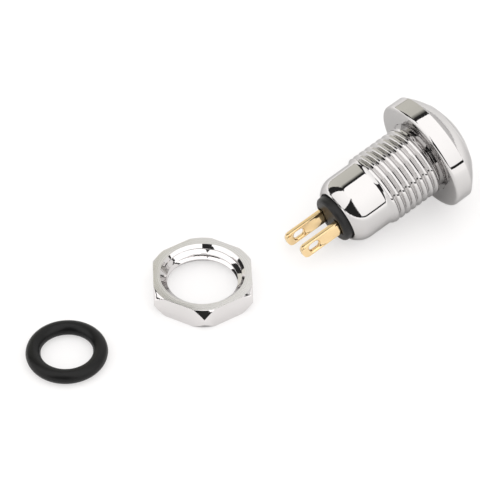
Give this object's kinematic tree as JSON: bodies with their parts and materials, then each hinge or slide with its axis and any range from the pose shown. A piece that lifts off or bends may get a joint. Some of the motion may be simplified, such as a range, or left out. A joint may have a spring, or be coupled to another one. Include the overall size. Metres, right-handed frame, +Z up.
{
  "type": "anti vandal push button",
  "caption": "Metal push button with a domed head, a threaded body, a rolled tail and solder lugs, laid out with its panel nut and sealing ring.",
  "frame": {"origin": "on the floor under the middle of the row's box", "axes": "+X along the row from the sealing ring through the nut to the head of the button, +Z up from the floor; the button's axis lies over X, tilted up at the head"},
  "size_m": [0.0514, 0.013, 0.0125],
  "materials": {
    "nickel_plate": "bright nickel plating on turned brass",
    "stainless": "polished stainless steel",
    "gold_plate": "thin gold plating on punched copper alloy",
    "black_moulding": "matte black moulding",
    "black_rubber": "matte black moulded rubber",
    "spring_wire": "drawn spring wire",
    "rod_brass": "plain turned brass",
    "contact_silver": "silver alloy contact"
  },
  "bodies": {
    "casing": {"housing": "nickel_plate", "rod_seal": "black_rubber", "seal_washer": "stainless", "return_spring": "spring_wire", "insulating_sleeve": "black_moulding", "terminal_base": "black_moulding", "base_gasket": "black_rubber", "terminal_lug_1": "gold_plate", "terminal_lug_2": "gold_plate", "fixed_contact_1": "contact_silver", "fixed_contact_2": "contact_silver", "panel_nut": "nickel_plate", "panel_o_ring": "black_rubber"},
    "plunger": {"button_cap": "stainless", "plunger_rod": "rod_brass", "retaining_clip": "spring_wire", "contact_carrier": "black_moulding", "carrier_pin": "rod_brass", "contact_spring": "spring_wire"},
    "bridge": {"contact_bridge": "gold_plate", "bridge_contact_1": "contact_silver", "bridge_contact_2": "contact_silver"}
  },
  "joints": [
    {"name": "button_press", "type": "slide", "parent": "casing", "child": "plunger", "axis": [-0.9679, 0, -0.2513], "range_m": [0, 0.001], "stiffness_N_per_m": 1000, "springref_m": -0.0015, "deforming": ["return_spring", "contact_spring"]},
    {"name": "bridge_close", "type": "slide", "parent": "casing", "child": "bridge", "axis": [-0.9679, 0, -0.2513], "range_m": [0, 0.00048]}
  ],
  "couplings": [
    {"joint": "bridge_close", "follows": "button_press", "ratio": 0.48}
  ]
}
